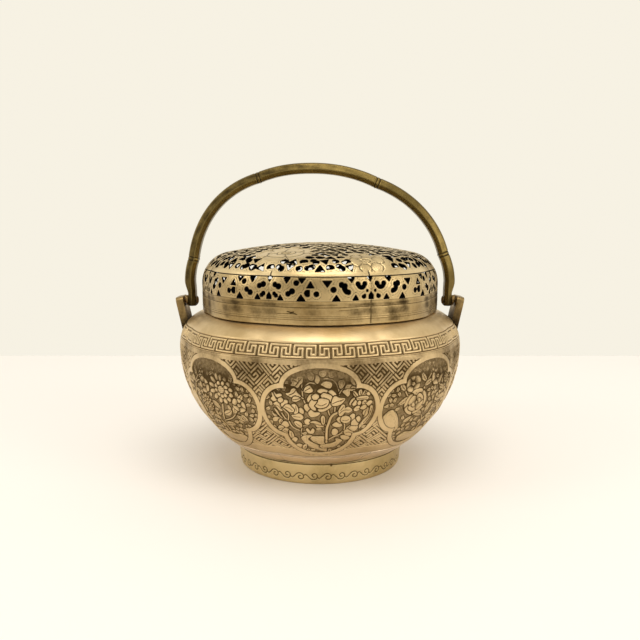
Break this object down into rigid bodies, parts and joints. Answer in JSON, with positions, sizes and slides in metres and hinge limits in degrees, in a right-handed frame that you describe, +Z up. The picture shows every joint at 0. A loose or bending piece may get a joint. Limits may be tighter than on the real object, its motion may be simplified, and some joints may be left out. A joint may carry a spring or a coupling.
{
  "type": "hand warmer",
  "caption": "Lobed brass hand warmer on a low round foot, with an ember pan inside, a pierced lift-off lid and an upright swing handle of bamboo form.",
  "frame": {"origin": "centre of the foot's resting face, under the middle of the whole object", "axes": "+Z up, X along the handle's pivots, -Y towards the front shown in the picture"},
  "size_m": [0.1432, 0.14, 0.1483],
  "materials": {
    "polished_brass": "rubbed brass with brown patina in the recesses",
    "lid_brass": "brighter rubbed brass with dark pierced edges",
    "brown_brass": "handled brown brass, satin",
    "dark_brass": "dark unpolished brass",
    "sooty_copper": "heat-darkened copper sheet with soot"
  },
  "bodies": {
    "vessel": {"body_bowl": "polished_brass", "base_band": "polished_brass", "foot_ring": "polished_brass", "neck_collar": "brown_brass", "ember_pan": "sooty_copper", "pan_floor": "sooty_copper", "lug_left": "brown_brass", "lug_right": "brown_brass", "pivot_pin_left": "dark_brass", "pivot_pin_right": "dark_brass", "pivot_washer_left": "dark_brass", "pivot_washer_right": "dark_brass"},
    "lid": {"lid_band": "lid_brass", "lid_crown": "lid_brass"},
    "handle": {"bail_handle": "brown_brass"}
  },
  "joints": [
    {"name": "handle_swing", "type": "hinge", "parent": "vessel", "child": "handle", "pos_m": [0, 0, 0.0812], "axis": [1, 0, 0], "range_deg": [-91, 91]},
    {"name": "lid_lift", "type": "slide", "parent": "vessel", "child": "lid", "axis": [0, 0, 1], "range_m": [0, 0.0105]}
  ]
}
